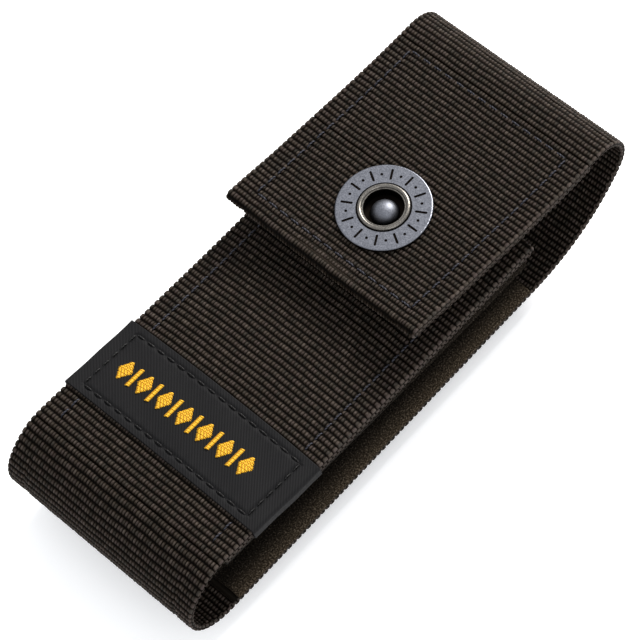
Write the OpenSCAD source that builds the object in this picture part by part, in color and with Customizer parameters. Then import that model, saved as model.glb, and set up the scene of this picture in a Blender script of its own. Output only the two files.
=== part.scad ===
// Belt sheath for a folding multi tool.
// One strip of heavy nylon webbing runs from the flap's front edge, over the top fold, down the
// back, round the bottom bend and up the front to the mouth. Elastic gussets close its sides, and a
// ring-capped press stud holds the flap down. The sheath lies on its belt loop: +X across, +Y
// towards the top fold, +Z out of the front. The origin is the centre of the bounding box's base.

/* [Webbing] */
// Width of the main webbing
webbing_w = 50; // [48:1:60]
// Thickness of one layer of webbing
webbing_t = 1.2; // [1:0.1:1.4]

/* [Body] */
// Length of the closed sheath, from the bottom bend to the top fold
sheath_l = 128.5; // [122:0.5:140]
// Height of the front panel's face above the back panel's face
body_h = 19.2; // [18:0.1:22]
// Distance of the mouth from the bottom end
mouth_y = 100.5; // [99:0.5:102]
// Distance from the bottom end at which the back panel starts to rise to the top fold
rise_y = 100; // [98:0.5:101]

/* [Flap] */
// Height of the flap's face above the back panel's face
flap_h = 25.5; // [24.5:0.1:28]
// Distance of the flap's front edge from the bottom end
flap_front_y = 67.5; // [62:0.5:70]
// Outer radius of the tight part of the top fold
fold_r = 7.6; // [7:0.1:8]
// Distance from the bottom end at which the flap's lining stops
lining_end_y = 118; // [110:0.5:119]

/* [Gussets] */
// Thickness of the elastic
gusset_t = 0.9; // [0.7:0.1:1.1]
// Distance of a gusset's lower end from the bottom end
gusset_y0 = 12; // [10:0.5:16]
// Distance of a gusset's upper end from the bottom end
gusset_y1 = 98; // [90:0.5:98]
// Distance of the side seams from the webbing's edges
seam_inset = 4.5; // [4:0.1:5]

/* [Belt loop] */
// Width of the loop's webbing
loop_w = 38; // [30:1:38]
// Room for the belt between the loop and the back panel
loop_gap = 4.8; // [4.5:0.1:6]
// Distance of the loop's lower end from the bottom end
loop_y0 = 25; // [20:1:30]
// Distance of the loop's upper end from the bottom end
loop_y1 = 95; // [90:1:96]
// Length of the sewn tab at each end of the loop
loop_tab = 11; // [10:0.5:13]

/* [Label] */
// Distance of the label's middle from the bottom end
label_y = 28.5; // [26:0.5:32]
// Height of the label
label_h = 18.4; // [16:0.2:20]
// Thickness of the label's cloth
label_t = 0.5; // [0.4:0.1:0.6]

/* [Snap] */
// Distance of the snap's axis from the bottom end
snap_y = 85.2; // [84:0.1:88]
// Outer diameter of the ring cap
cap_d = 19.6; // [16:0.2:21]
// Number of engraved bars round the ring cap
cap_marks = 12; // [8:1:16]

/* [Stitches] */
// Distance from one stitch to the next
stitch_pitch = 2.9; // [2.6:0.1:3.4]
// Length of one stitch on the surface
stitch_l = 2.1; // [1.8:0.1:2.2]
// Diameter of the thread
thread_d = 0.45; // [0.35:0.05:0.5]

/* [Hidden] */
$fn = 96;

webbing_black = "#1d1a17";
elastic_black = "#24201b";
label_black = "#2a2a2d";
thread_black = "#15131a";
aged_nickel = "#7e828c";
aged_brass = "#8a7f6c";

half_w = webbing_w / 2;
back_z = webbing_t + loop_gap;        // height of the back panel's face above the ground
flap_under = flap_h - 2 * webbing_t;  // the flap's lower face
body_under = body_h - 2 * webbing_t;  // the front lining's inner face
seam_x = half_w - seam_inset;

// The back rises on a wide arc that runs smoothly into the tight fold. The wide arc's turn and
// radius follow from where it starts and from where the fold has to end.
rise_turn = 2 * atan((flap_h - 2 * fold_r) / (sheath_l - fold_r - rise_y));
rise_r = fold_r + (sheath_l - fold_r - rise_y) / sin(rise_turn);
rise_mid_r = rise_r - webbing_t / 2;
fold_mid_r = fold_r - webbing_t / 2;
fold_turn = (180 - rise_turn) / 3;    // the fold's arc is shared by three flexing lines
bottom_r = body_h / 2;

// A flexing line is a round nose on one piece, and the next piece starts this far past its axis.
flex_gap = 0.8;
// Two stretches of the webbing in one piece meet inside a round bead, which bridges a small gap
// between them. It stands this far out of their faces and stops this far short of their edges.
bead_out = 0.02;
bead_in = 0.1;
bead_gap = 0.05;

// A path is a list of [turn in degrees, radius of its middle line], where no turn means a straight
// run of the given length. A state on it is [y, z, heading], and +Z is to the left of +Y.
function advance(s, seg) = seg[0] == 0
    ? [s[0] + seg[1] * cos(s[2]), s[1] + seg[1] * sin(s[2]), s[2]]
    : let (r = sign(seg[0]) * seg[1], b = s[2] + seg[0])
        [s[0] + r * (sin(b) - sin(s[2])), s[1] - r * (cos(b) - cos(s[2])), b];
function states(path, s, i = 0) = i == len(path)
    ? [s]
    : concat([s], states(path, advance(s, path[i]), i + 1));
// The turn of an arc of length l and radius r.
function turn_of_length(l, r) = l / r * 180 / PI;

// The webbing from the bottom of the back to the flap's front edge.
main_path = [
    [0, rise_y - bottom_r],
    [rise_turn / 2, rise_mid_r],
    [rise_turn / 2, rise_mid_r],
    [fold_turn / 2, fold_mid_r],
    [fold_turn, fold_mid_r],
    [fold_turn, fold_mid_r],
    [fold_turn / 2, fold_mid_r],
    [0, sheath_l - fold_r - flap_front_y - webbing_t],
];
main_states = states(main_path, [bottom_r, webbing_t / 2, 0]);

// Moves a solid from the sheath's own frame, with the bottom end at y = 0 and the back panel's
// face at z = 0, to the part's frame.
module placed() {
    translate([0, -sheath_l / 2, back_z]) children();
}

// A band of webbing, w wide and t thick, whose middle line follows a path from a start state.
module band(path, start, w, t) {
    at = states(path, start);
    for (i = [0 : len(path) - 1]) {
        s = at[i];
        turn = path[i][0];
        size = path[i][1];
        side = sign(turn);
        if (turn == 0)
            translate([0, s[0], s[1]]) rotate([s[2], 0, 0]) translate([-w / 2, 0, -t / 2])
                cube([w, size, t]);
        else
            translate([0, s[0] - side * size * sin(s[2]), s[1] + side * size * cos(s[2])])
                rotate([90, 0, 90]) rotate([0, 0, s[2] - side * 90 + min(turn, 0)])
                    rotate_extrude(angle = abs(turn))
                        translate([size - t / 2, -w / 2]) square([t, w]);
    }
}

// The first stretch of length l of a path's segment, and what is left of the segment after it.
function start_of(seg, l) = seg[0] == 0 ? [0, l] : [turn_of_length(l, seg[1]), seg[1]];
function rest_of(seg, l) = seg[0] == 0
    ? [0, seg[1] - l]
    : [seg[0] - turn_of_length(l, seg[1]), seg[1]];

// Segments first to last of the main webbing. The piece starts past a flexing line where
// after_flex is set, and ends in a round nose on the next one where before_flex is set.
module webbing(first, last, after_flex = false, before_flex = false) {
    for (i = [first : last]) {
        late = i > first ? bead_gap : after_flex ? flex_gap : 0;
        band([rest_of(main_path[i], late)], advance(main_states[i], start_of(main_path[i], late)),
            webbing_w, webbing_t);
    }
    for (i = [first + 1 : 1 : last + (before_flex ? 1 : 0)])
        translate([0, main_states[i][0], main_states[i][1]]) rotate([0, 90, 0])
            cylinder(h = webbing_w - 2 * bead_in, r = webbing_t / 2 + bead_out, center = true);
}

module hole(r, z0, z1) {
    translate([0, snap_y, z0 - 1]) cylinder(h = z1 - z0 + 2, r = r);
}

// ---- The body ----

module back_panel() {
    color(webbing_black) placed() webbing(0, 1, before_flex = true);
}

module bottom_fold() {
    color(webbing_black) placed()
        band([[-180, bottom_r - webbing_t / 2]], [bottom_r, webbing_t / 2, 180], webbing_w, webbing_t);
}

module front_panel() {
    run = mouth_y - webbing_t - bottom_r;
    color(webbing_black) placed() difference() {
        band([[0, run]], [bottom_r, body_h - webbing_t / 2, 0], webbing_w, webbing_t);
        hole(post_hole_r, body_under, body_h);
    }
}

// The inner layer of the front, which folds outwards at the mouth to meet the front panel.
module front_lining() {
    run = mouth_y - webbing_t - gusset_y0;
    color(webbing_black) placed() difference() {
        band([[0, run], [180, webbing_t / 2]], [gusset_y0, body_under + webbing_t / 2, 0],
            webbing_w, webbing_t);
        hole(post_hole_r, body_under, body_h);
    }
}

gusset_bend_r = 1.2;
gusset_flange = 6.4;                  // from the webbing's edge to the start of the bend
gusset_tuck = 0.4;                    // how far the front flange's edge stops short of the webbing's

module gusset() {
    back_mid = webbing_t + gusset_t / 2;
    front_mid = body_under - gusset_t / 2;
    wall = front_mid - back_mid - 2 * gusset_bend_r;
    translate([0, (gusset_y0 + gusset_y1) / 2, 0]) rotate([0, 0, -90])
        band([[0, gusset_flange], [-90, gusset_bend_r], [0, wall], [-90, gusset_bend_r],
            [0, gusset_flange - gusset_tuck]], [half_w, back_mid, 180],
            gusset_y1 - gusset_y0, gusset_t);
}

module gusset_right() {
    color(elastic_black) placed() gusset();
}

module gusset_left() {
    color(elastic_black) placed() mirror([1, 0, 0]) gusset();
}

loop_bend_r = 1.4;

// The loop's webbing turns away from the back panel at each tab and leaves room for a belt.
module belt_loop() {
    drop = loop_gap - 2 * loop_bend_r;
    run = loop_y1 - loop_y0 - 2 * (loop_tab + 2 * loop_bend_r);
    color(webbing_black) placed()
        band([[0, loop_tab], [-90, loop_bend_r], [0, drop], [90, loop_bend_r], [0, run],
            [90, loop_bend_r], [0, drop], [-90, loop_bend_r], [0, loop_tab]],
            [loop_y0, -webbing_t / 2, 0], loop_w, webbing_t);
}

// The label lies on the front panel and wraps down over the edges of both of its layers.
module label() {
    color(label_black) placed() translate([0, label_y - label_h / 2, 0]) {
        translate([-half_w - label_t, 0, body_h])
            cube([webbing_w + 2 * label_t, label_h, label_t]);
        for (side = [-1, 1])
            translate([side * (half_w + label_t / 2) - label_t / 2, 0, body_under])
                cube([label_t, label_h, body_h - body_under + label_t]);
    }
}

// ---- The fold and the flap ----

module back_rise() {
    color(webbing_black) placed() webbing(2, 3, after_flex = true, before_flex = true);
}

module fold_lower() {
    color(webbing_black) placed() webbing(4, 4, after_flex = true, before_flex = true);
}

module fold_upper() {
    color(webbing_black) placed() webbing(5, 5, after_flex = true, before_flex = true);
}

module flap_outer() {
    color(webbing_black) placed() difference() {
        webbing(6, 7, after_flex = true);
        hole(eyelet_hole_r, flap_under, flap_h);
    }
}

// The flap's inner layer, which folds upwards at the front edge to meet the outer layer.
module flap_lining() {
    run = lining_end_y - flap_front_y - webbing_t;
    color(webbing_black) placed() difference() {
        band([[0, run], [-180, webbing_t / 2]], [lining_end_y, flap_under + webbing_t / 2, 180],
            webbing_w, webbing_t);
        hole(eyelet_hole_r, flap_under, flap_h);
    }
}

// ---- The snap ----

metal_t = 0.5;                        // sheet metal of the snap's flanges
lap = 0.1;                            // how far two solids of one metal part run into each other
cap_t = 0.7;
cap_step_t = 0.25;                    // the cap's inner step, which the eyelet's rim rests on
cap_step_r = 5.6;
rim_seat = 0.01;                      // room between the cap's step and the eyelet's rim
rim_wire_r = 0.45;                    // the eyelet's rolled rim
rim_ring_r = 4.85;
eyelet_r = 4.5;
eyelet_bore_r = 4.15;
eyelet_hole_r = 4.6;
clinch_t = 0.4;                       // the eyelet's lower end, rolled out under the socket
clinch_r = 5.4;
socket_r = 6.2;
socket_wall = 0.6;
socket_flange_r = 7;
socket_h = 2.7;
socket_mouth_r = 3.75;
lip_t = 0.45;                         // the socket's inward lip
stud_flange_r = 5.5;
stud_neck_r = 2.35;
stud_head_r = 2.8;
stud_head_z = 2.4;
stud_head_wire_r = 0.6;
post_r = 1.95;
post_hole_r = 2.1;
stud_fit = 0.05;                      // room round the stud's neck and round the post
spring_gap_deg = 40;
spring_w = 2.2;
spring_t = 0.5;

// Places snap parts with their axis at x = 0, y = snap_y and their base at height z.
module on_snap(z) {
    placed() translate([0, snap_y, z]) children();
}

module ring(r_in, r_out, z0, z1) {
    translate([0, 0, z0]) difference() {
        cylinder(h = z1 - z0, r = r_out);
        translate([0, 0, -1]) cylinder(h = z1 - z0 + 2, r = r_in);
    }
}

module cap_bar(r_in, r_out, w) {
    for (r = [r_in, r_out]) translate([r, 0, 0]) cylinder(h = 1, d = w);
    translate([r_in, -w / 2, 0]) cube([r_out - r_in, w, 1]);
}

// The ring cap: a flat ring with a rounded edge, a lower inner step for the eyelet's rim, and
// a border of engraved bars and dots.
module snap_cap() {
    mark_depth = 0.18;
    edge_r = cap_t / 2;
    outer = cap_d / 2;
    bar_in = cap_step_r + 0.9;
    bar_out = outer - 1.3;
    bar_w = 0.5;
    dot_d = 0.6;
    color(aged_nickel) on_snap(flap_h) difference() {
        union() {
            ring(cap_step_r, outer - edge_r, 0, cap_t);
            ring(eyelet_hole_r, cap_step_r + lap, 0, cap_step_t);
            rotate_extrude() translate([outer - edge_r, edge_r]) circle(r = edge_r, $fn = 32);
        }
        for (i = [0 : cap_marks - 1]) rotate(i * 360 / cap_marks)
            translate([0, 0, cap_t - mark_depth]) {
                cap_bar(bar_in, bar_out, bar_w);
                rotate(180 / cap_marks) translate([(bar_in + bar_out) / 2, 0, 0])
                    cylinder(h = 1, d = dot_d);
            }
    }
}

// The tubular eyelet: a rolled rim over the cap, a barrel through both layers of the flap, and
// a clinched lower end that holds the socket.
module snap_eyelet() {
    rim_z = flap_h + cap_step_t + rim_seat + rim_wire_r;
    clinch_z = flap_under - metal_t;
    color(aged_brass) {
        on_snap(rim_z) rotate_extrude() translate([rim_ring_r, 0]) circle(r = rim_wire_r, $fn = 32);
        on_snap(0) ring(eyelet_bore_r, eyelet_r, clinch_z - clinch_t, rim_z);
        on_snap(0) ring(eyelet_bore_r, clinch_r, clinch_z - clinch_t, clinch_z);
    }
}

// The domed floor of the eyelet's well.
module snap_dome() {
    floor_t = 0.3;
    floor_lift = 0.5;                 // height of the floor above the flap's lower face
    dome_fit = 0.03;                  // room between the floor and the eyelet's barrel
    dome_r = 3;
    dome_h = 2.4;
    ball_r = (dome_r * dome_r + dome_h * dome_h) / (2 * dome_h);
    color(aged_nickel) on_snap(flap_under + floor_lift) {
        cylinder(h = floor_t, r = eyelet_bore_r - dome_fit);
        intersection() {
            translate([0, 0, floor_t + dome_h - ball_r]) sphere(r = ball_r);
            cylinder(h = floor_t + dome_h + 1, r = dome_r);
        }
    }
}

// The socket under the flap: a flange, a cup and an inward lip round its mouth.
module snap_socket() {
    base = flap_under - metal_t;
    mouth = base - socket_h;
    color(aged_nickel) on_snap(0) {
        ring(eyelet_hole_r, socket_flange_r, base, flap_under);
        ring(socket_r - socket_wall, socket_r, mouth, base + lap);
        ring(socket_mouth_r, socket_r, mouth, mouth + lip_t);
    }
}

// The split spring in the socket, which grips the stud's neck.
module snap_spring() {
    mouth = flap_under - metal_t - socket_h;
    color(aged_nickel) on_snap(mouth + metal_t)
        rotate_extrude(angle = 360 - spring_gap_deg)
            translate([stud_neck_r + stud_fit, 0]) square([spring_w, spring_t]);
}

// The stud on the front panel: a flange, a neck and a rounded head, hollow for the post.
module snap_stud() {
    color(aged_nickel) on_snap(body_h) difference() {
        union() {
            cylinder(h = metal_t, r = stud_flange_r);
            cylinder(h = stud_head_z, r = stud_neck_r);
            translate([0, 0, stud_head_z]) rotate_extrude()
                translate([stud_head_r - stud_head_wire_r, 0])
                    circle(r = stud_head_wire_r, $fn = 48);
            translate([0, 0, stud_head_z])
                cylinder(h = stud_head_wire_r, r = stud_head_r - stud_head_wire_r);
        }
        translate([0, 0, -1]) cylinder(h = stud_head_z + 1.2, r = post_r + stud_fit);
    }
}

// The rivet that holds the stud from inside the pocket.
module snap_post() {
    color(aged_nickel) on_snap(body_under - metal_t) {
        cylinder(h = metal_t, r = stud_flange_r);
        cylinder(h = metal_t + 2 * webbing_t + stud_head_z, r = post_r);
    }
}

// ---- The stitches ----

// A row of stitches from one [x, y] point to another. They lie on the face at height z, above it
// where up is 1 and below it where up is -1.
module stitch_row(from, to, z, up = 1) {
    along = to - from;
    count = max(2, 2 * round(norm(along) / stitch_pitch / 2));
    for (i = [0 : count - 1]) {
        p = from + along * (i + 0.5) / count;
        translate([p[0], p[1], z + up * thread_d / 2])
            rotate([0, 90, atan2(along[1], along[0])])
                cylinder(h = stitch_l, d = thread_d, center = true, $fn = 16);
    }
}

module stitch_box(lo, hi, z, up = 1) {
    stitch_row(lo, [hi[0], lo[1]], z, up);
    stitch_row([hi[0], lo[1]], hi, z, up);
    stitch_row(hi, [lo[0], hi[1]], z, up);
    stitch_row([lo[0], hi[1]], lo, z, up);
}

seam_end = 1;                         // how far a gusset's seam stops short of its ends
mouth_row = 3;                        // from the mouth's hem to the row of stitches across it

// The two side seams of the front, which stop under the label and below the row at the mouth.
module stitches_front() {
    label_clear = label_h / 2 + 0.6;
    row_clear = 1.5;
    color(thread_black) placed() for (side = [-1, 1]) {
        x = side * seam_x;
        stitch_row([x, gusset_y0 + seam_end], [x, label_y - label_clear], body_h);
        stitch_row([x, label_y + label_clear], [x, gusset_y1 - mouth_row - row_clear], body_h);
    }
}

module stitches_back() {
    color(thread_black) placed() for (side = [-1, 1]) {
        x = side * seam_x;
        stitch_row([x, gusset_y0 + seam_end], [x, gusset_y1 - seam_end], 0, -1);
    }
}

module stitches_mouth() {
    x = seam_x - seam_end;
    y = mouth_y - mouth_row;
    color(thread_black) placed() stitch_row([-x, y], [x, y], body_h);
}

module stitches_label() {
    end_inset = 3;
    edge_inset = 1.8;
    x = half_w - end_inset;
    y = label_h / 2 - edge_inset;
    color(thread_black) placed()
        stitch_box([-x, label_y - y], [x, label_y + y], body_h + label_t);
}

// A sewn box with a cross at each tab of the belt loop.
module stitches_loop() {
    inset = 2;
    x = loop_w / 2 - inset;
    color(thread_black) placed()
        for (tab = [[loop_y0, loop_y0 + loop_tab], [loop_y1 - loop_tab, loop_y1]]) {
            lo = [-x, tab[0] + inset];
            hi = [x, tab[1] - inset];
            stitch_box(lo, hi, -webbing_t, -1);
            cut = [4, 1];
            stitch_row(lo + cut, hi - cut, -webbing_t, -1);
            stitch_row([lo[0] + cut[0], hi[1] - cut[1]], [hi[0] - cut[0], lo[1] + cut[1]],
                -webbing_t, -1);
        }
}

// One closed seam round the flap, which holds its two layers together.
module stitches_flap() {
    front_inset = 4.5;
    back_inset = 2;
    color(thread_black) placed()
        stitch_box([-seam_x, flap_front_y + front_inset], [seam_x, lining_end_y - back_inset], flap_h);
}

back_panel();
bottom_fold();
front_panel();
front_lining();
gusset_right();
gusset_left();
belt_loop();
label();
back_rise();
fold_lower();
fold_upper();
flap_outer();
flap_lining();
snap_cap();
snap_eyelet();
snap_dome();
snap_socket();
snap_spring();
snap_stud();
snap_post();
stitches_front();
stitches_back();
stitches_mouth();
stitches_label();
stitches_loop();
stitches_flap();
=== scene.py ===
"""Belt sheath for a folding multi tool: woven webbing, elastic gussets, label and press stud.

One long strip of webbing is a path in the YZ plane that always turns left. It runs up the front
lining, over the mouth's hem, down the front, round the bottom bend, up the back, over the top
fold, down the flap, over the flap's hem and back along the flap's lining. Lengths are in
millimetres in the row frame until a mesh is made.
"""

from math import atan, cos, pi, radians, sin

import bpy
import numpy as np
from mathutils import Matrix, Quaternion, Vector


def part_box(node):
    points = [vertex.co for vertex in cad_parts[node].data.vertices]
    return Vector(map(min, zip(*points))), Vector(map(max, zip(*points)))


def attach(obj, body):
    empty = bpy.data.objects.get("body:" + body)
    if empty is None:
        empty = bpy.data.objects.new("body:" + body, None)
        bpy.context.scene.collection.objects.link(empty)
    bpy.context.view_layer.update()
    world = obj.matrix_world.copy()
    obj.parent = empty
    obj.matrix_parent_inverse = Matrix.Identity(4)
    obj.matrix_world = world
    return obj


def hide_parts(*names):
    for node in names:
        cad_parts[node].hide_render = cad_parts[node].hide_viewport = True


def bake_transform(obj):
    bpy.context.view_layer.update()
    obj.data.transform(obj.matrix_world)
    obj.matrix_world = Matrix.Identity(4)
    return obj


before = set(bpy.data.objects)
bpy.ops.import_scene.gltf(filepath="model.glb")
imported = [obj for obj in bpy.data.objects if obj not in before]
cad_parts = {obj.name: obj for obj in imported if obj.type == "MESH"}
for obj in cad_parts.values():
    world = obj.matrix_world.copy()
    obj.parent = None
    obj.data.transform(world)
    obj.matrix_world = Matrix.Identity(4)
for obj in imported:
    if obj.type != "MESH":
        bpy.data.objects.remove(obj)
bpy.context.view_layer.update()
MM = 0.001


# ---- Sizes ----

def mm_box(node):
    """The lowest and the highest corner of a CAD node, in millimetres."""
    lo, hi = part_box(node)
    return np.array(lo) / MM, np.array(hi) / MM


PANEL_LO, PANEL_HI = mm_box("front_panel")
LINING_LO, LINING_HI = mm_box("front_lining")
FLAP_LO, FLAP_HI = mm_box("flap_lining")
LOOP_LO, LOOP_HI = mm_box("belt_loop")
GUSSET_LO, GUSSET_HI = mm_box("gusset_right")
LABEL_LO, LABEL_HI = mm_box("label")
CAP_LO, CAP_HI = mm_box("snap_cap")

WIDTH = PANEL_HI[0] - PANEL_LO[0]
THICK = PANEL_HI[2] - PANEL_LO[2]
HALF = WIDTH / 2
BOTTOM_Y = mm_box("bottom_fold")[0][1]
BACK_Z = LOOP_HI[2]                   # the back's outer face
BODY_Z = PANEL_HI[2]                  # the front's outer face
MOUTH_Y = LINING_HI[1]
FLAP_Y = FLAP_LO[1]                   # the flap's front edge
FLAP_Z = FLAP_HI[2]                   # the flap's outer face
TOP_Y = mm_box("fold_lower")[1][1]
SNAP_Y = (CAP_LO[1] + CAP_HI[1]) / 2
BOTTOM_R = (BODY_Z - BACK_Z) / 2
FOLD_R = 7.6                          # the outer radius of the top fold
RISE_Y = BOTTOM_Y + 100               # where the back starts to rise towards the top fold
SEAM_X = HALF - 4.5                   # how far out the side seams are
SEAM_PULL = 0.22                      # how deep a seam draws the cloth in
EYELET_HOLE_R = 4.85                  # the hole through both layers of the flap
LABEL_Y = (LABEL_LO[1] + LABEL_HI[1]) / 2
# Half the sides of the label's seam
LABEL_SEAM_X = HALF - 3
LABEL_SEAM_Y = (LABEL_HI[1] - LABEL_LO[1]) / 2 - 1.8

# The back rises over an arc of this turn and radius, which runs on into the top fold's
RISE_TURN = 2 * atan((FLAP_Z - BACK_Z - 2 * FOLD_R) / (TOP_Y - FOLD_R - RISE_Y))
RISE_R = FOLD_R + (TOP_Y - FOLD_R - RISE_Y) / sin(RISE_TURN) - THICK / 2
# The distance along the main webbing at which the back starts to rise
TIGHT_FROM = (MOUTH_Y - THICK - LINING_LO[1] + pi * THICK / 2
              + MOUTH_Y - THICK - BOTTOM_Y - BOTTOM_R + pi * (BOTTOM_R - THICK / 2)
              + RISE_Y - BOTTOM_Y - BOTTOM_R)


# ---- Paths and meshes ----

class Path:
    """A line in the YZ plane made of (turn, size) pieces: a turn in radians with its radius, or
    no turn with a length. Headings are measured from +Y towards +Z, and left turns are positive."""

    def __init__(self, y, z, heading, pieces):
        self.starts = []
        self.pieces = pieces
        s = 0.0
        for turn, size in pieces:
            self.starts.append((s, y, z, heading))
            if turn == 0:
                y += size * cos(heading)
                z += size * sin(heading)
                s += size
            else:
                r = size if turn > 0 else -size
                y += r * (sin(heading + turn) - sin(heading))
                z -= r * (cos(heading + turn) - cos(heading))
                heading += turn
                s += abs(turn) * size
        self.length = s

    def at(self, s):
        """Arrays y, z and heading at the distances s."""
        y, z, heading = (np.empty_like(s) for _ in range(3))
        for i, ((s0, y0, z0, h0), (turn, size)) in enumerate(zip(self.starts, self.pieces)):
            here = s >= s0 if i else np.ones(len(s), bool)
            d = s[here] - s0
            if turn == 0:
                h = np.full(len(d), h0)
                y[here] = y0 + d * cos(h0)
                z[here] = z0 + d * sin(h0)
            else:
                r = size if turn > 0 else -size
                h = h0 + d / r
                y[here] = y0 + r * (np.sin(h) - sin(h0))
                z[here] = z0 - r * (np.cos(h) - cos(h0))
            heading[here] = h
        return y, z, heading

    def start_of(self, piece):
        """The distance along at which a piece starts."""
        return self.starts[piece][0]


def mesh_object(name, points, faces, smooth=True):
    """A mesh from points in millimetres."""
    mesh = bpy.data.meshes.new(name)
    mesh.from_pydata((np.asarray(points) * MM).tolist(), [], faces)
    mesh.validate()
    mesh.update()
    if smooth:
        mesh.polygons.foreach_set("use_smooth", [True] * len(mesh.polygons))
    obj = bpy.data.objects.new(name, mesh)
    bpy.context.scene.collection.objects.link(obj)
    return obj


def set_uv(obj, uv):
    """A UV map in millimetres from one (u, v) per vertex."""
    mesh = obj.data
    index = np.empty(len(mesh.loops), int)
    mesh.loops.foreach_get("vertex_index", index)
    layer = mesh.uv_layers.new(name="cloth")
    layer.data.foreach_set("uv", np.asarray(uv)[index].astype(np.float32).ravel())


def set_value(obj, name, values):
    """An attribute with one number per vertex."""
    attribute = obj.data.attributes.new(name, "FLOAT", "POINT")
    attribute.data.foreach_set("value", np.asarray(values, np.float32))


def tube_faces(rows, columns):
    """Quads of a closed tube of rows by columns of points, and a face over each end."""
    index = np.arange(rows * columns).reshape(rows, columns)
    after = np.roll(index, -1, axis=1)
    quads = np.stack([index[:-1], after[:-1], after[1:], index[1:]], axis=-1).reshape(-1, 4)
    return quads.tolist() + [index[0, ::-1].tolist(), index[-1].tolist()]


def distance_along(line):
    """The distance along a line of points, at each of them."""
    return np.concatenate([[0], np.cumsum(np.linalg.norm(np.diff(line, axis=0), axis=1))])


def section(half, thick, step, full):
    """The outline of a strip's cross-section with rounded edges, from one edge over the outer face
    to the other, and back along the inner face where full is set. Returns arrays of the distance
    along the outline, across the strip, out of its middle, and of the outline's normal."""
    flat = half - thick / 2
    edge = pi * thick / 2
    inner = np.arange(step, 2 * flat - step / 2, step) if full else np.array([])
    c = np.linspace(-flat - edge, flat + edge, int(round(2 * (flat + edge) / step)) + 1)
    c = np.concatenate([c, flat + edge + inner])
    side = np.sign(c)
    past = np.abs(c) - flat
    angle = np.clip(past / (thick / 2), 0, pi)
    across = np.where(past < 0, c, side * (flat + thick / 2 * np.sin(angle)))
    out = np.where(past < 0, thick / 2, thick / 2 * np.cos(angle))
    back = c > flat + edge + 1e-9
    across = np.where(back, flat - (c - flat - edge), across)
    out = np.where(back, -thick / 2, out)
    n_across = np.where(back, 0, np.where(past < 0, 0, side * np.sin(angle)))
    n_out = np.where(back, -1, np.where(past < 0, 1, np.cos(angle)))
    return c, across, out, n_across, n_out


# ---- The weave ----

RIB = 1.37                            # the pitch of the ribs along the webbing
TIGHT_RIB = 1.27                      # their pitch beyond TIGHT_FROM
RIB_FILL = 0.86                       # how much of a rib's pitch its yarns fill
RIB_STEPS = 6                         # how many points a rib has along the webbing
ACROSS_STEP = 0.15                    # the distance between points across the webbing
RELIEF = 0.42                         # from the bottom of the grooves to the top of the yarns
PLAIN = 0.8                           # the weave's height that lies on the CAD's surface
CELL = 2.1                            # the pitch at which the yarns' pattern repeats across
# (middle, half width) of the yarns in one cell, in even and in odd ribs
YARNS = (
    ((-0.67, 0.31), (0.0, 0.31), (0.67, 0.31)),
    ((-0.32, 0.31), (0.32, 0.31), (1.05, 0.34)),
)


def hashed(*keys):
    """A number from 0 to 1 that depends only on the keys."""
    mix = np.zeros(np.broadcast(*keys).shape)
    for k, weight in zip(keys, (12.9898, 78.233, 37.719)):
        mix = mix + np.asarray(k) * weight
    value = np.sin(mix) * 43758.5453
    return value - np.floor(value)


def ribs_to(s):
    """How many ribs lie between the start of the main webbing and the distances s along it."""
    return s / RIB + np.maximum(s - TIGHT_FROM, 0) * (1 / TIGHT_RIB - 1 / RIB)


def weave(c, ribs):
    """The height of the weave's surface, from 0 to about 1, and a tint for its yarn, at distances c
    across and a number of ribs along. The yarns of every other rib are staggered by half a yarn."""
    # The ribs wander a little
    ribs = ribs + 0.03 * np.sin(c * 0.41 + 0.18 * ribs) + 0.02 * np.sin(c * 1.13 - 0.4 * ribs)
    row = np.floor(ribs)
    v = ribs - row
    best = np.zeros(np.broadcast(c, ribs).shape)
    tint = np.zeros_like(best)
    for parity, yarns in enumerate(YARNS):
        here = (row % 2) == parity
        for middle, half in yarns:
            d = (c - middle) / CELL
            cell = np.round(d)
            shift = 0.06 * (hashed(cell, row, middle * 10) - 0.5)
            d = (d - cell) * CELL + shift
            full = 0.86 + 0.28 * hashed(row, cell, middle * 7)
            height = np.sqrt(np.clip(1 - (d / half) ** 2, 0, 1)) * full
            better = here & (height > best)
            best = np.where(better, height, best)
            tint = np.where(better, hashed(cell * 3 + 1, row, middle * 5), tint)
    pillow = np.clip(1 - ((2 * v - 1) / RIB_FILL) ** 2, 0, 1) ** 0.6
    # The gap between two yarns is shallower than the groove between two ribs
    return (0.25 + 0.75 * best) * pillow, tint


def selvage_beads(e, ribs):
    """The height from 0 to 1 of the woven edge, at distances e round the edge and a number of
    ribs along: two lines of beads, half a rib apart."""
    half_width = 0.5
    height = np.zeros(np.broadcast(e, ribs).shape)
    for middle, phase in ((0.40, 0.0), (1.48, 0.5)):
        v = (ribs + phase) % 1
        round_edge = np.clip(1 - ((e - middle) / half_width) ** 2, 0, 1)
        bead = round_edge * np.clip(1 - (2 * v - 1) ** 4, 0, 1)
        height = np.maximum(height, np.sqrt(bead))
    return height


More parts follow.
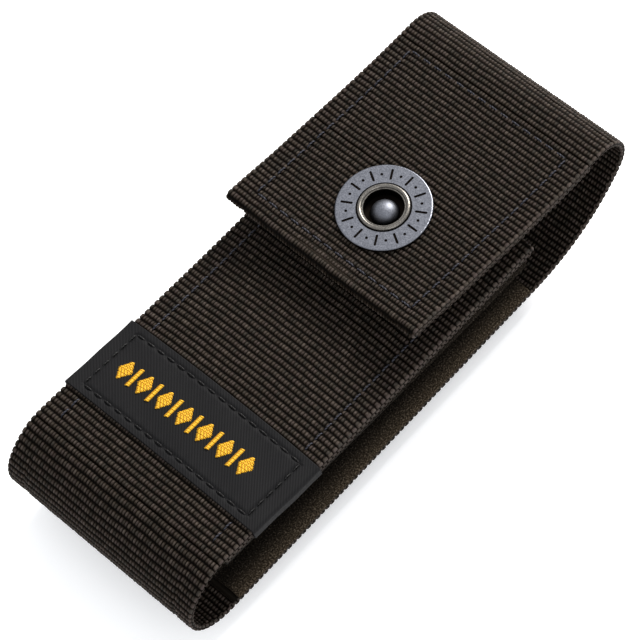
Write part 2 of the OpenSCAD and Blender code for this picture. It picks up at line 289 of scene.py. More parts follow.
def strip(name, path, s0, s1, half, full=False, warp=None, relief=RELIEF, seams=()):
    """A closed piece of webbing along a path from s0 to s1, with its weave as relief. full gives
    the inner face a weave too. seams are (place across, from, to) lines along the strip, where a
    seam draws it in."""
    c, across, out, n_across, n_out = section(half, THICK, ACROSS_STEP, full)
    rows = int(round((s1 - s0) / (RIB / RIB_STEPS)))
    s = np.linspace(s0, s1, rows + 1)
    y, z, heading = path.at(s)
    grid_c, grid_s = np.meshgrid(c, s)
    height, tint = weave(grid_c, ribs_to(grid_s))
    past_flat = np.abs(grid_c) - (half - THICK / 2)
    on_edge = (past_flat > 0) & (past_flat < pi * THICK / 2)
    height = np.where(on_edge, selvage_beads(past_flat, ribs_to(grid_s)), height)
    if not full:
        height[:, [0, -1]] = 0.6      # the plain inner face takes its colour from these
    pulled = np.zeros_like(height)
    spread = 0.5
    for middle, start, stop in seams:
        near = np.exp(-((grid_c - middle) / spread) ** 2)
        pulled = np.maximum(pulled, near * (grid_s > start) * (grid_s < stop))
    lift = (height - PLAIN) * relief - SEAM_PULL * pulled
    o = out[None, :] + n_out[None, :] * lift
    points = np.empty(grid_c.shape + (3,))
    points[..., 0] = across[None, :] + n_across[None, :] * lift
    points[..., 1] = y[:, None] + np.sin(heading)[:, None] * o
    points[..., 2] = z[:, None] - np.cos(heading)[:, None] * o
    points = points.reshape(-1, 3)
    if warp:
        points = warp(points)
    obj = mesh_object(name, points, tube_faces(len(s), len(c)))
    set_uv(obj, np.stack([grid_c.ravel(), grid_s.ravel()], axis=1))
    # The webbing material paints shade into each groove from this height
    set_value(obj, "height", height.ravel())
    set_value(obj, "tint", tint.ravel())
    set_value(obj, "selvage", on_edge.ravel())
    return obj


# ---- How the real thing leaves the plain solid ----

CROWN = 1.8                           # how far the front's side edges lie below its middle
SWELL = 1.5                           # how far the front bulges above the bottom bend
FLAP_LEAN = 1.6                       # how far the flap's front edge leans towards -X
CORNER_LIFT = 1.2                     # how far the corners of the flap's front edge stand up


def ease(x):
    """A smooth step from 0 to 1."""
    x = np.clip(x, 0, 1)
    return x * x * (3 - 2 * x)


def body_warp(p):
    """The front is crowned, and it swells a little towards the bottom bend."""
    p = p.copy()
    # From 0 on the back to 1 on the front
    up = ease((p[:, 2] - BACK_Z - 2) / (BODY_Z - BACK_Z - 4))
    y = p[:, 1] - BOTTOM_Y
    side = np.clip(np.abs(p[:, 0]) / HALF, 0, 1.02)
    crown = CROWN * side ** 2.2 * ease((y - 8) / 30)
    swell = SWELL * ease((y - 2) / 10) * (1 - ease((y - 18) / 50))
    p[:, 2] += up * (swell - crown)
    return p


def flap_warp(p):
    """The flap's front edge leans to one side, and its corners lift."""
    p = p.copy()
    # Both grow from 0 at the top fold to 1 at the front edge, corner only out at the sides
    ahead = ease((SNAP_Y + 30 - p[:, 1]) / 48)
    corner = ease((SNAP_Y - 2 - p[:, 1]) / 18) * np.clip(np.abs(p[:, 0]) / HALF, 0, 1) ** 2
    p[:, 0] -= FLAP_LEAN * ahead
    p[:, 2] += CORNER_LIFT * corner
    return p


# ---- Materials ----

def new_material(name):
    """A material, its nodes, its links and its shader."""
    material = bpy.data.materials.new(name)
    material.use_nodes = True
    nodes = material.node_tree.nodes
    return material, nodes, material.node_tree.links, nodes["Principled BSDF"]


def cloth_uv(nodes):
    """The place on the cloth's own surface, in millimetres."""
    node = nodes.new("ShaderNodeUVMap")
    node.uv_map = "cloth"
    return node.outputs["UV"]


def uv_noise(nodes, links, scale, stretch=(1, 1), detail=3.0):
    """A noise over the cloth's own surface."""
    mapping = nodes.new("ShaderNodeMapping")
    mapping.inputs["Scale"].default_value = (stretch[0], stretch[1], 1)
    noise = nodes.new("ShaderNodeTexNoise")
    noise.inputs["Scale"].default_value = scale
    noise.inputs["Detail"].default_value = detail
    links.new(cloth_uv(nodes), mapping.inputs["Vector"])
    links.new(mapping.outputs["Vector"], noise.inputs["Vector"])
    return noise.outputs["Fac"]


def uv_bands(nodes, links, scale, distortion=0.0, detail=2.0):
    """Diagonal bands over the cloth's own surface."""
    wave = nodes.new("ShaderNodeTexWave")
    wave.bands_direction = "DIAGONAL"
    wave.inputs["Scale"].default_value = scale
    wave.inputs["Distortion"].default_value = distortion
    wave.inputs["Detail"].default_value = detail
    links.new(cloth_uv(nodes), wave.inputs["Vector"])
    return wave.outputs["Fac"]


def ramp(nodes, links, value, stops):
    """A colour ramp through (place, colour) stops."""
    node = nodes.new("ShaderNodeValToRGB")
    elements = node.color_ramp.elements
    while len(elements) < len(stops):
        elements.new(0.5)
    for element, (place, colour) in zip(elements, stops):
        element.position = place
        element.color = (*colour, 1)
    links.new(value, node.inputs["Fac"])
    return node.outputs["Color"]


def mix(nodes, links, blend, factor, a, b):
    """A mix of two colours, where the factor or a colour is a socket or a plain value."""
    node = nodes.new("ShaderNodeMix")
    node.data_type = "RGBA"
    node.blend_type = blend
    for socket, value in ((node.inputs[0], factor), (node.inputs[6], a), (node.inputs[7], b)):
        if isinstance(value, bpy.types.NodeSocket):
            links.new(value, socket)
        elif isinstance(value, tuple):
            socket.default_value = (*value, 1)
        else:
            socket.default_value = value
    return node.outputs[2]


def attribute(nodes, name):
    """A number that set_value has stored on the mesh."""
    node = nodes.new("ShaderNodeAttribute")
    node.attribute_name = name
    return node.outputs["Fac"]


def bump(nodes, links, shader, height, strength, distance):
    """A bump of the shader's normal, with its distance in millimetres."""
    node = nodes.new("ShaderNodeBump")
    node.inputs["Strength"].default_value = strength
    node.inputs["Distance"].default_value = distance * MM
    links.new(height, node.inputs["Height"])
    links.new(node.outputs["Normal"], shader.inputs["Normal"])


def webbing_material():
    """Dark nylon with painted shade that deepens towards the bottom of each groove,
    and a tint of its own for each yarn.
    """
    material, nodes, links, shader = new_material("webbing")
    # Painted shade: the colour darkens from the tops of the yarns down into each groove
    groove_shade = ramp(nodes, links, attribute(nodes, "height"), [
        (0.20, (0.0013, 0.0007, 0.0003)),
        (0.55, (0.0110, 0.0078, 0.0050)),
        (0.95, (0.0480, 0.0395, 0.0330)),
    ])
    hues = ramp(nodes, links, attribute(nodes, "tint"), [
        (0.0, (0.70, 0.74, 0.74)),
        (0.35, (1.0, 0.97, 0.92)),
        (0.7, (1.0, 0.93, 0.98)),
        (1.0, (1.45, 1.42, 1.4)),
    ])
    colour = mix(nodes, links, "MULTIPLY", 1.0, groove_shade, hues)
    fibres = uv_noise(nodes, links, 5.0, stretch=(2.4, 0.7))
    fibre_shade = ramp(nodes, links, fibres, [(0.3, (0.55, 0.55, 0.55)), (0.7, (1.4, 1.4, 1.4))])
    colour = mix(nodes, links, "MULTIPLY", 1.0, colour, fibre_shade)
    edge = mix(nodes, links, "MULTIPLY", 1.0, colour, (1.1, 1.1, 1.12))
    colour = mix(nodes, links, "MIX", attribute(nodes, "selvage"), colour, edge)
    links.new(colour, shader.inputs["Base Color"])
    shader.inputs["Roughness"].default_value = 0.5
    shader.inputs["Specular IOR Level"].default_value = 0.03
    bump(nodes, links, shader, fibres, 0.6, 0.12)
    return material


def elastic_material():
    """Fuzzy dark elastic, with painted light that makes it paler towards the back flange's outer edge.
    """
    material, nodes, links, shader = new_material("elastic")
    nap = uv_noise(nodes, links, 3.4, stretch=(1.0, 0.8), detail=6.0)
    colour = ramp(nodes, links, nap, [
        (0.35, (0.004, 0.003, 0.002)),
        (0.55, (0.022, 0.017, 0.012)),
        (0.72, (0.080, 0.066, 0.052)),
    ])
    # Painted light: the elastic is made paler towards the back flange's outer edge, as if that edge
    # catches the light
    edge_light = ramp(nodes, links, attribute(nodes, "edge_light"), [
        (0.0, (0.7, 0.7, 0.7)),
        (1.0, (2.4, 2.3, 2.1)),
    ])
    colour = mix(nodes, links, "MULTIPLY", 1.0, colour, edge_light)
    links.new(colour, shader.inputs["Base Color"])
    shader.inputs["Roughness"].default_value = 0.9
    shader.inputs["Specular IOR Level"].default_value = 0.05
    bump(nodes, links, shader, nap, 0.9, 0.5)
    return material


def label_material():
    """Fine dark twill."""
    material, nodes, links, shader = new_material("label")
    twill = uv_bands(nodes, links, 1.5, distortion=0.6, detail=1.0)
    colour = ramp(nodes, links, twill, [
        (0.0, (0.003, 0.003, 0.0032)),
        (1.0, (0.014, 0.0135, 0.0142)),
    ])
    links.new(colour, shader.inputs["Base Color"])
    shader.inputs["Roughness"].default_value = 0.6
    shader.inputs["Specular IOR Level"].default_value = 0.06
    bump(nodes, links, shader, twill, 0.5, 0.06)
    return material


def thread_material(name, dark, light):
    """Twisted thread. Its UV map runs round the thread and along it."""
    material, nodes, links, shader = new_material(name)
    twist = uv_bands(nodes, links, 0.9)
    colour = ramp(nodes, links, twist, [(0.1, dark), (0.8, light)])
    links.new(colour, shader.inputs["Base Color"])
    shader.inputs["Roughness"].default_value = 0.5
    shader.inputs["Specular IOR Level"].default_value = 0.2
    bump(nodes, links, shader, twist, 0.6, 0.08)
    return material


def metal_material(name, dark, light, roughness, shade_and_dirt_z, soft):
    """Worn plated metal with a fine speckle. Painted shade, with dirt in the eyelet's well, darkens
    what lies lower than a given height, fading in over the height soft, both in millimetres."""
    material, nodes, links, shader = new_material(name)
    place = nodes.new("ShaderNodeTexCoord")
    speckle = nodes.new("ShaderNodeTexNoise")
    speckle.inputs["Scale"].default_value = 3800
    speckle.inputs["Detail"].default_value = 3
    links.new(place.outputs["Object"], speckle.inputs["Vector"])
    colour = ramp(nodes, links, speckle.outputs["Fac"], [(0.3, dark), (0.7, light)])
    axes = nodes.new("ShaderNodeSeparateXYZ")
    links.new(place.outputs["Object"], axes.inputs["Vector"])
    undarkened = nodes.new("ShaderNodeMapRange")
    undarkened.inputs["From Min"].default_value = (shade_and_dirt_z - soft) * MM
    undarkened.inputs["From Max"].default_value = shade_and_dirt_z * MM
    links.new(axes.outputs["Z"], undarkened.inputs["Value"])
    # Painted shade, and dirt in the eyelet's well: a near-black colour for what lies low
    shade_and_dirt = (0.008, 0.006, 0.005)
    colour = mix(nodes, links, "MIX", undarkened.outputs["Result"], shade_and_dirt, colour)
    links.new(colour, shader.inputs["Base Color"])
    rough = nodes.new("ShaderNodeMapRange")
    rough.inputs["To Min"].default_value = roughness - 0.1
    rough.inputs["To Max"].default_value = roughness + 0.15
    links.new(speckle.outputs["Fac"], rough.inputs["Value"])
    links.new(rough.outputs["Result"], shader.inputs["Roughness"])
    shader.inputs["Metallic"].default_value = 1.0
    bump(nodes, links, shader, speckle.outputs["Fac"], 0.15, 0.02)
    return material


# ---- Camera, floor and light ----

def make_camera():
    """The view that the sheath is seen from: high, from its right, and rolled a little."""
    azimuth = radians(54.9)
    elevation = radians(61.4)
    roll = radians(-14.03)
    distance = 0.6002
    target = Vector((-0.57, 0, 9.0 + BACK_Z)) * MM
    ahead = Vector((-sin(azimuth) * cos(elevation), cos(azimuth) * cos(elevation), -sin(elevation)))
    data = bpy.data.cameras.new("camera")
    data.sensor_width = 36
    data.lens = 169.8
    data.clip_start = 0.01
    camera = bpy.data.objects.new("camera", data)
    bpy.context.scene.collection.objects.link(camera)
    camera.rotation_mode = "QUATERNION"
    camera.rotation_quaternion = ahead.to_track_quat("-Z", "Y") @ Quaternion((0, 0, 1), roll)
    camera.location = target - ahead * distance
    bpy.context.scene.camera = camera


def area_light(name, place, size, power, colour):
    """A square lamp at a place in metres, turned towards the sheath."""
    data = bpy.data.lights.new(name, "AREA")
    data.size = size
    data.energy = power
    data.color = colour
    light = bpy.data.objects.new(name, data)
    light.location = place
    light.rotation_mode = "QUATERNION"
    light.rotation_quaternion = (-Vector(place)).to_track_quat("-Z", "Y")
    bpy.context.scene.collection.objects.link(light)


def make_studio():
    """A white floor and sky, a strong lamp beyond the top fold and a weak one to the right."""
    world = bpy.data.worlds.new("studio")
    world.use_nodes = True
    sky = world.node_tree.nodes["Background"]
    sky.inputs["Color"].default_value = (0.95, 0.97, 1.0, 1)
    sky.inputs["Strength"].default_value = 0.95
    bpy.context.scene.world = world
    bpy.context.scene.view_settings.view_transform = "Standard"
    area_light("key", (-0.10, 0.80, 0.55), size=0.35, power=16, colour=(1.0, 0.98, 0.95))
    area_light("fill", (0.7, -0.2, 0.5), size=0.5, power=1.5, colour=(0.95, 0.97, 1.0))
    reach = 3000
    corners = [(-reach, -reach, 0), (reach, -reach, 0), (reach, reach, 0), (-reach, reach, 0)]
    floor = mesh_object("floor", corners, [(0, 1, 2, 3)], smooth=False)
    material, _, _, shader = new_material("floor")
    shader.inputs["Base Color"].default_value = (0.93, 0.93, 0.93, 1)
    shader.inputs["Roughness"].default_value = 0.8
    shader.inputs["Emission Color"].default_value = (1, 1, 1, 1)
    shader.inputs["Emission Strength"].default_value = 0.3
    floor.data.materials.append(material)


# ---- The main webbing ----


def strip_path():
    """The middle of the main webbing, from the end of the front's lining to the flap's."""
    hem_r = THICK / 2
    lining_z = BODY_Z - 1.5 * THICK
    return Path(LINING_LO[1], lining_z, 0.0, [
        (0, MOUTH_Y - THICK - LINING_LO[1]),
        (pi, hem_r),
        (0, MOUTH_Y - THICK - BOTTOM_Y - BOTTOM_R),
        (pi, BOTTOM_R - THICK / 2),
        (0, RISE_Y - BOTTOM_Y - BOTTOM_R),
        (RISE_TURN, RISE_R),
        (pi - RISE_TURN, FOLD_R - THICK / 2),
        (0, TOP_Y - FOLD_R - FLAP_Y - THICK),
        (pi, hem_r),
        (0, FLAP_HI[1] - FLAP_Y - THICK),
    ])


def on_rib(s):
    """The distance along of the nearest groove between two pairs of ribs."""
    pairs = round(float(ribs_to(s)) / 2)
    tight = 2 * pairs - TIGHT_FROM / RIB
    return TIGHT_FROM + tight * (TIGHT_RIB if tight > 0 else RIB)


def make_webbing(cloth):
    """The main webbing, cut into pieces: a piece of one body moves with it, and a piece that
    lies between two bodies stays where it is.
    """
    path = strip_path()
    hem, front, bottom, back, rise, fold, flap, _, flap_lining = (
        path.start_of(i) for i in range(1, 10))
    # The distances along of the flexing lines, and of the middles between them
    flex = [rise + RISE_TURN / 2 * RISE_R]
    for k in (0.5, 1.5, 2.5):
        flex.append(fold + k * (pi - RISE_TURN) / 3 * (FOLD_R - THICK / 2))
    middles = [(a + b) / 2 for a, b in zip(flex, flex[1:])]
    mouth_side = front + 34
    under_label = front + 68
    # Name, from, to, the body or the two bodies and their flexing line, whether the inner face
    # has a weave too, warp, and the CAD nodes it stands for
    cuts = [
        ("web_lining", 0, hem - 6, "sheath", False, body_warp, ["front_lining"]),
        ("web_front_top", hem - 6, mouth_side, "sheath", False, body_warp, []),
        ("web_front_middle", mouth_side, under_label, "sheath", False, body_warp, ["front_panel"]),
        ("web_front_low", under_label, bottom, "sheath", False, body_warp, []),
        ("web_bottom", bottom, back, "sheath", True, body_warp, ["bottom_fold"]),
        ("web_back_low", back, back + 45, "sheath", False, None, []),
        ("web_back_high", back + 45, rise - 14, "sheath", False, None, []),
        ("web_back_rise", rise - 14, middles[0], ("sheath", "rise", 0), True, None, ["back_panel"]),
        ("web_fold_low", middles[0], middles[1], ("rise", "fold_a", 1), True, None, ["back_rise"]),
        ("web_fold_high", middles[1], middles[2], ("fold_a", "fold_b", 2), True, None, ["fold_lower"]),
        ("web_fold_top", middles[2], flap + 4, ("fold_b", "flap", 3), True, None, ["fold_upper"]),
        ("web_flap_top", flap + 4, flap + 28, "flap", False, flap_warp, ["flap_outer"]),
        ("web_flap_front", flap + 28, flap_lining + 4, "flap", False, flap_warp, []),
        ("web_flap_lining", flap_lining + 4, path.length, "flap", False, flap_warp, ["flap_lining"]),
    ]
    for name, s0, s1, body, full, warp, nodes in cuts:
        s0 = on_rib(s0) if s0 > 0 else 0
        s1 = on_rib(s1) if s1 < path.length else s1
        seams = [(side * SEAM_X, s0, s1) for side in (-1, 1)] if body in ("sheath", "flap") else []
        obj = strip(name, path, s0, s1, HALF, full, warp, seams=seams)
        obj.data.materials.append(cloth)
        if nodes:
            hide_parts(*nodes)
        if isinstance(body, str):
            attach(obj, body)
        else:
            a, b, which = body
            y, z, heading = path.at(np.array([flex[which]]))
            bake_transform(obj)


def pierce(obj, radius):
    """Cuts a round hole through a piece on the snap's axis."""
    count = 48
    angles = [2 * pi * i / count for i in range(count)]
    ring = [(radius * cos(a), SNAP_Y + radius * sin(a)) for a in angles]
    points = [(x, y, z) for z in (BODY_Z + 0.6, FLAP_Z + 3) for x, y in ring]
    cutter = mesh_object("cutter", points, tube_faces(2, count), smooth=False)
    modifier = obj.modifiers.new("hole", "BOOLEAN")
    modifier.operation = "DIFFERENCE"
    modifier.solver = "EXACT"
    modifier.object = cutter
    evaluated = obj.evaluated_get(bpy.context.evaluated_depsgraph_get())
    pierced = bpy.data.meshes.new_from_object(evaluated)
    obj.modifiers.clear()
    obj.data = pierced
    bpy.data.objects.remove(cutter)


# ---- Belt loop ----

LOOP_TAB = 11                         # the length of the sewn part at each end


def make_loop(cloth):
    """The belt loop, lifted a little so that its relief stays above the floor."""
    bend = 1.4
    lift = 0.12
    drop = BACK_Z - THICK - 2 * bend
    run = LOOP_HI[1] - LOOP_LO[1] - 2 * (LOOP_TAB + 2 * bend)
    path = Path(LOOP_LO[1], BACK_Z - THICK / 2 + lift, 0.0, [
        (0, LOOP_TAB), (-pi / 2, bend), (0, drop), (pi / 2, bend), (0, run),
        (pi / 2, bend), (0, drop), (-pi / 2, bend), (0, LOOP_TAB),
    ])
    obj = strip("web_loop", path, 0, path.length, LOOP_HI[0], full=True, relief=0.32)
    obj.data.materials.append(cloth)
    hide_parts("belt_loop")
    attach(obj, "sheath")


# ---- Gussets ----

GUSSET_T = 0.9
GUSSET_BEND = 1.2                     # the radius of the bends between the wall and the flanges


def gusset_middle(y, steps):
    """The middle line of the right gusset's cross-section at y, as (x, z) points: in along the
    back, up the wall, and out under the front lining, where its edge droops near the mouth."""
    back_z = BACK_Z + THICK + GUSSET_T / 2
    front_z = BODY_Z - 2 * THICK - GUSSET_T / 2
    wall_x = GUSSET_LO[0] + GUSSET_T / 2
    bend_x = wall_x + GUSSET_BEND
    low_z = back_z + GUSSET_BEND
    high_z = front_z - GUSSET_BEND
    flange = HALF - wall_x - GUSSET_BEND
    tuck = 0.3                        # how far the front flange stops short of the edge
    t = np.linspace(0, 1, steps)
    arch = 0.6 * np.sin(pi * t)
    belly = 1.1 * np.sin(pi * t)
    droop = 2.2 * ease((y - BOTTOM_Y - 30) / 65)
    turn = t[1:-1] * pi / 2
    in_turn = GUSSET_BEND * np.sin(turn)
    out_turn = GUSSET_BEND * np.cos(turn)
    back = np.stack([HALF - t * flange, back_z + arch], axis=1)
    low = np.stack([bend_x - in_turn, low_z - out_turn], axis=1)
    wall = np.stack([wall_x + belly, low_z + t * (high_z - low_z)], axis=1)
    high = np.stack([bend_x - out_turn, high_z + in_turn], axis=1)
    front = np.stack([bend_x + t * (flange - tuck), front_z - droop * t ** 2], axis=1)
    return np.concatenate([back, low, wall, high, front])


def make_gusset(side, name, node, elastic):
    """One elastic side piece, with a rough nap on both faces. side is 1 on the right, -1 on the
    left. Its UV map runs round the cross-section and along Y."""
    ys = np.arange(GUSSET_LO[1], GUSSET_HI[1] + 0.01, 0.5)
    nap = 0.16
    inner_u = 40                      # where the inner face's part of the UV map starts
    rings = []
    uvs = []
    for i, y in enumerate(ys):
        line = gusset_middle(y, steps=16)
        tangent = np.gradient(line, axis=0)
        tangent /= np.linalg.norm(tangent, axis=1)[:, None]
        normal = np.stack([tangent[:, 1], -tangent[:, 0]], axis=1)
        along = distance_along(line)
        index = np.arange(len(line))
        nap_out = nap * (hashed(np.full(len(line), i), index) - 0.5)
        nap_in = nap * (hashed(np.full(len(line), i + 900), index) - 0.5)
        outer = line + normal * (GUSSET_T / 2 + nap_out)[:, None]
        inner = line - normal * (GUSSET_T / 2 + nap_in)[:, None]
        loop = np.concatenate([outer, inner[::-1]])
        rings.append(np.stack([side * loop[:, 0], np.full(len(loop), y), loop[:, 1]], axis=1))
        reach = np.concatenate([along, along[::-1] + inner_u])
        uvs.append(np.stack([reach, np.full(len(loop), y)], axis=1))
    points = body_warp(np.concatenate(rings))
    faces = tube_faces(len(ys), len(rings[0]))
    if side > 0:
        faces = [f[::-1] for f in faces]
    obj = mesh_object(name, points, faces)
    uvs = np.concatenate(uvs)
    set_uv(obj, uvs)
    # Painted light: 1 at the back flange's outer edge, fading out within 4.5 mm, which the elastic's
    # material turns paler
    set_value(obj, "edge_light", 1 - ease(uvs[:, 0] / 4.5))
    obj.data.materials.append(elastic)
    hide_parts(node)
    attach(obj, "sheath")


# ---- Label ----

def label_top(x, y):
    """The height of the label's upper face."""
    p = body_warp(np.stack([x, y, np.full_like(x, BODY_Z)], axis=1))
    return p[:, 2] + (LABEL_HI[2] - BODY_Z)


def make_label(cloth, motif):
    """A cloth strip across the front, with its ends turned down over the edges."""
    thick = LABEL_HI[2] - BODY_Z
    corner = 0.7
    drop = BODY_Z - LABEL_LO[2] - corner
    flat = HALF - corner + thick
    turn = corner * pi / 2
    total = 2 * (flat + turn + drop)
    # u runs along the cloth from end to end, and v across it
    u = np.linspace(-total / 2, total / 2, 340)
    v = np.linspace(LABEL_LO[1], LABEL_HI[1], 110)
    side = np.sign(u)
    past = np.abs(u) - flat
    angle = np.clip(past / corner, 0, pi / 2)
    fall = np.clip(past - turn, 0, drop)
    x = side * (np.minimum(np.abs(u), flat) + corner * np.sin(angle))
    z = BODY_Z + thick - corner * (1 - np.cos(angle)) - fall
    n_x = side * np.sin(angle)
    n_z = np.cos(angle)
    grid_u, grid_v = np.meshgrid(u, v)
    # The distance to the nearest line of the seam, which has no part beyond its own corners
    off_u = np.abs(grid_u) - LABEL_SEAM_X
    off_v = np.abs(grid_v - LABEL_Y) - LABEL_SEAM_Y
    far = 10
    to_seam = np.minimum(np.abs(off_v) + far * (off_u > 0), np.abs(off_u) + far * (off_v > 0))
    seam = SEAM_PULL * np.exp(-(to_seam / 0.45) ** 2)
    pucker = 0.05 * np.sin(grid_u * 2.17) * np.exp(-(to_seam / 1.5) ** 2)
    wave = 0.04 * np.sin(grid_u * 0.35 + grid_v * 0.6)
    lift = pucker + wave - seam
    skins = []
    for depth, weight in ((0.0, 1.0), (-thick, 0.4)):
        skin = np.empty(grid_u.shape + (3,))
        skin[..., 0] = x[None, :] + n_x[None, :] * (lift * weight + depth)
        skin[..., 1] = grid_v
        skin[..., 2] = z[None, :] + n_z[None, :] * (lift * weight + depth)
        skins.append(skin)
    loops = np.concatenate([skins[0], skins[1][:, ::-1]], axis=1)
    points = body_warp(loops.reshape(-1, 3))
    obj = mesh_object("label_cloth", points, tube_faces(len(v), 2 * len(u)))
    uv_u = np.concatenate([grid_u, grid_u[:, ::-1]], axis=1)
    uv_v = np.concatenate([grid_v, grid_v], axis=1)
    set_uv(obj, np.stack([uv_u.ravel(), uv_v.ravel()], axis=1))
    obj.data.materials.append(cloth)
    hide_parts("label")
    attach(obj, "sheath")


# ---- Thread ----

THREAD_R = 0.18
STITCH_PITCH = 2.9
STITCH_POINTS = 9                     # how many points lie along a stitch
SEAM_END = 1                          # how far the seams stop short of the gussets' ends
MOUTH_ROW = 3                         # from the mouth's hem to the row of stitches across it


def threads(name, lines, radius, material, body, nodes=(), sides=7):
    """Short closed lengths of thread along lines of points. Their UV map runs round the thread
    and along it."""
    around = 1.3
    points = []
    faces = []
    uvs = []
    for line in lines:
        line = np.asarray(line, float)
        tangent = np.gradient(line, axis=0)
        tangent /= np.linalg.norm(tangent, axis=1)[:, None]
        beside = np.cross(tangent, (0, 0, 1))
        beside /= np.linalg.norm(beside, axis=1)[:, None]
        above = np.cross(beside, tangent)
        t = np.linspace(-1, 1, len(line))
        taper = radius * np.sqrt(np.clip(1 - 0.75 * t ** 6, 0, 1))
        angle = (np.arange(sides) * 2 * pi / sides)[None, :, None]
        spoke = np.cos(angle) * beside[:, None] + np.sin(angle) * above[:, None]
        ring = line[:, None] + taper[:, None, None] * spoke
        base = len(points)
        points.extend(ring.reshape(-1, 3).tolist())
        for face in tube_faces(len(line), sides):
            faces.append([base + i for i in face])
        for a in distance_along(line):
            uvs.extend((k / sides * around, a) for k in range(sides))
    obj = mesh_object(name, points, faces)
    set_uv(obj, uvs)
    obj.data.materials.append(material)
    if nodes:
        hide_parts(*nodes)
    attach(obj, body)
    return obj


def stitch_lines(start, stop, z, warp=None, up=1, sink=0.0):
    """Stitches from one (x, y) point to another on the face at height z. Each arches out of the
    cloth and dives back into it."""
    start = np.array(start, float)
    stop = np.array(stop, float)
    length = np.linalg.norm(stop - start)
    count = int(max(2, 2 * round(length / STITCH_PITCH / 2)))
    reach = np.linspace(-0.43, 0.43, STITCH_POINTS)
    arch = 0.16 - 0.62 * np.abs(np.linspace(-1, 1, STITCH_POINTS)) ** 3 - sink
    seed = int(length * 7)
    lines = []
    for i in range(count):
        t = (i + 0.5 + reach) / count
        xy = start + t[:, None] * (stop - start)
        wobble = 0.06 * (hashed(i, seed) - 0.5)
        line = np.stack([xy[:, 0] + wobble, xy[:, 1], np.full(STITCH_POINTS, float(z))], axis=1)
        if warp:
            line = warp(line)
        line[:, 2] += up * arch
        lines.append(line)
    return lines


def stitch_box(lo, hi, *rest, **more):
    """Four rows of stitches round a box from its low to its high (x, y) corner."""
    corners = [lo, (hi[0], lo[1]), hi, (lo[0], hi[1])]
    lines = []
    for a, b in zip(corners, corners[1:] + corners[:1]):
        lines += stitch_lines(a, b, *rest, **more)
    return lines


def make_side_seams(thread):
    """The seams that hold the gussets to the front and to the back."""
    label_clear = 0.6
    row_clear = 1.5
    sink = 0.12
    low = GUSSET_LO[1] + SEAM_END
    high = GUSSET_HI[1] - (MOUTH_ROW + row_clear)
    front = []
    back = []
    for side in (-1, 1):
        x = side * SEAM_X
        front += stitch_lines((x, low), (x, LABEL_LO[1] - label_clear), BODY_Z, body_warp, sink=sink)
        front += stitch_lines((x, LABEL_HI[1] + label_clear), (x, high), BODY_Z, body_warp, sink=sink)
        back += stitch_lines((x, low), (x, GUSSET_HI[1] - SEAM_END), BACK_Z, up=-1, sink=sink)
    threads("thread_front", front, THREAD_R, thread, "sheath", ["stitches_front"])
    threads("thread_back", back, THREAD_R, thread, "sheath", ["stitches_back"])


def make_loop_seams(thread):
    """A box with a cross in it through each end of the belt loop."""
    z = BACK_Z - THICK
    inset = 2
    x = LOOP_HI[0] - inset
    cross_x = x - 4
    cross_inset = inset + 1
    loop = []
    for y0, y1 in ((LOOP_LO[1], LOOP_LO[1] + LOOP_TAB), (LOOP_HI[1] - LOOP_TAB, LOOP_HI[1])):
        low = y0 + cross_inset
        high = y1 - cross_inset
        loop += stitch_box((-x, y0 + inset), (x, y1 - inset), z, up=-1)
        loop += stitch_lines((-cross_x, low), (cross_x, high), z, up=-1)
        loop += stitch_lines((-cross_x, high), (cross_x, low), z, up=-1)
    threads("thread_loop", loop, THREAD_R, thread, "sheath", ["stitches_loop"])


def make_stitches(thread, label_thread):
    """Every seam, each a piece of its own."""
    make_side_seams(thread)
    y = MOUTH_Y - MOUTH_ROW
    mouth = stitch_lines((SEAM_END - SEAM_X, y), (SEAM_X - SEAM_END, y), BODY_Z, body_warp)
    threads("thread_mouth", mouth, THREAD_R, thread, "sheath", ["stitches_mouth"])
    low = (-LABEL_SEAM_X, LABEL_Y - LABEL_SEAM_Y)
    high = (LABEL_SEAM_X, LABEL_Y + LABEL_SEAM_Y)
    label = stitch_box(low, high, LABEL_HI[2], body_warp, sink=0.12)
    threads("thread_label", label, THREAD_R, label_thread, "sheath", ["stitches_label"])
    make_loop_seams(thread)
    front_inset = 4.5
    back_inset = 2
    low = (-SEAM_X, FLAP_Y + front_inset)
    high = (SEAM_X, FLAP_HI[1] - back_inset)
    flap = stitch_box(low, high, FLAP_Z, flap_warp, sink=0.1)
    threads("thread_flap", flap, THREAD_R, thread, "flap", ["stitches_flap"])


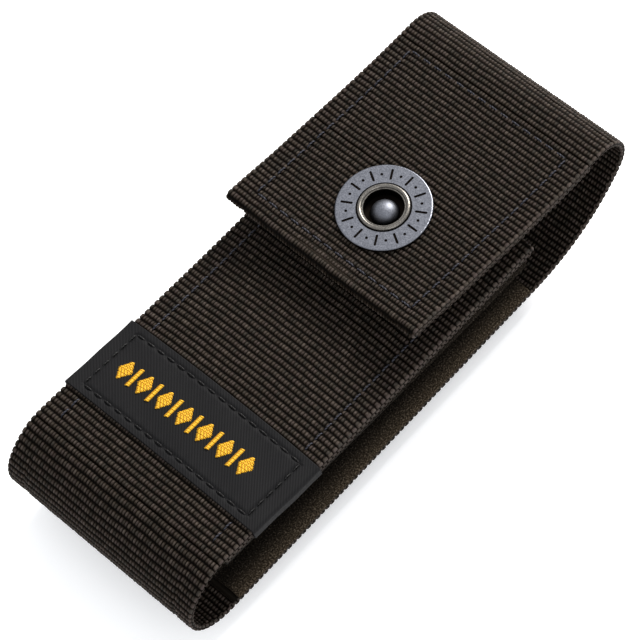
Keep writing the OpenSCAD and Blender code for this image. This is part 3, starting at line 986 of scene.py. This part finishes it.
def make_motif(gold):
    """Satin stitch in gold across the label: a row of diamonds with a bar between each two."""
    diamonds = 7
    pitch = 5.4
    middle_x = -1.5
    first_x = middle_x - (diamonds - 1) / 2 * pitch
    row_pitch = 0.3
    shortest = 0.2
    lines = []

    def fill(x0, half_w, half_h, width_at):
        """Rows of thread over a shape round x0. width_at gives the share of half_w that a row
        reaches to, at a share of half_h above or below the middle."""
        for k, dy in enumerate(np.arange(-half_h, half_h + 0.01, row_pitch)):
            w = half_w * width_at(abs(dy) / half_h)
            if w < shortest:
                continue
            t = np.linspace(-1, 1, STITCH_POINTS)
            x = x0 + t * w
            y = LABEL_Y + dy + 0.18 * t + 0.05 * sin(k * 2.3)
            z = label_top(x, y) + 0.1 - 0.22 * np.abs(t) ** 4
            lines.append(np.stack([x, y, z], axis=1))

    for i in range(diamonds):
        x = first_x + i * pitch
        fill(x, 1.75, 2.5, lambda q: 1 - q)
        if i < diamonds - 1:
            fill(x + pitch / 2, 0.45, 2.2, lambda q: 1.0)
    return threads("label_motif", lines, 0.19, gold, "sheath", sides=6)


# ---- Snap ----

def make_snap():
    """Gives the snap's parts their metal. Painted shade darkens the cap's engraving, the dome's
    sides and the eyelet's well, where it also stands for dirt.
    """
    cap_top = CAP_HI[2]
    rim_top = mm_box("snap_eyelet")[1][2]
    dome_lo, dome_hi = mm_box("snap_dome")
    grey = ((0.125, 0.130, 0.150), (0.215, 0.222, 0.250))
    warm = ((0.11, 0.10, 0.09), (0.24, 0.225, 0.20))
    dome_soft = dome_hi[2] - dome_lo[2] - 0.9
    cap = metal_material("cap", *grey, roughness=0.36, shade_and_dirt_z=cap_top - 0.03, soft=0.1)
    rim = metal_material("rim", *warm, roughness=0.3, shade_and_dirt_z=rim_top - 0.5, soft=0.5)
    dome = metal_material("dome", *grey, roughness=0.5, shade_and_dirt_z=dome_hi[2] - 0.4, soft=dome_soft)
    inside = metal_material("inside", *grey, roughness=0.36, shade_and_dirt_z=0.0, soft=1.0)
    finishes = {
        "snap_cap": cap, "snap_eyelet": rim, "snap_dome": dome, "snap_socket": inside,
        "snap_spring": inside, "snap_stud": inside, "snap_post": inside,
    }
    for node, material in finishes.items():
        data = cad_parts[node].data
        data.materials.clear()
        data.materials.append(material)


def main():
    """Builds the whole scene."""
    make_camera()
    make_studio()
    webbing = webbing_material()
    thread = thread_material("thread", (0.003, 0.003, 0.004), (0.034, 0.034, 0.046))
    label_thread = thread_material("label_thread", (0.001, 0.001, 0.001), (0.009, 0.008, 0.008))
    gold = thread_material("gold_thread", (0.40, 0.19, 0.006), (0.80, 0.44, 0.02))
    elastic = elastic_material()
    make_webbing(webbing)
    for name in ("web_flap_top", "web_flap_front", "web_flap_lining"):
        pierce(bpy.data.objects[name], EYELET_HOLE_R)
    make_loop(webbing)
    make_gusset(1, "elastic_right", "gusset_right", elastic)
    make_gusset(-1, "elastic_left", "gusset_left", elastic)
    make_label(label_material(), make_motif(gold))
    make_stitches(thread, label_thread)
    make_snap()


main()
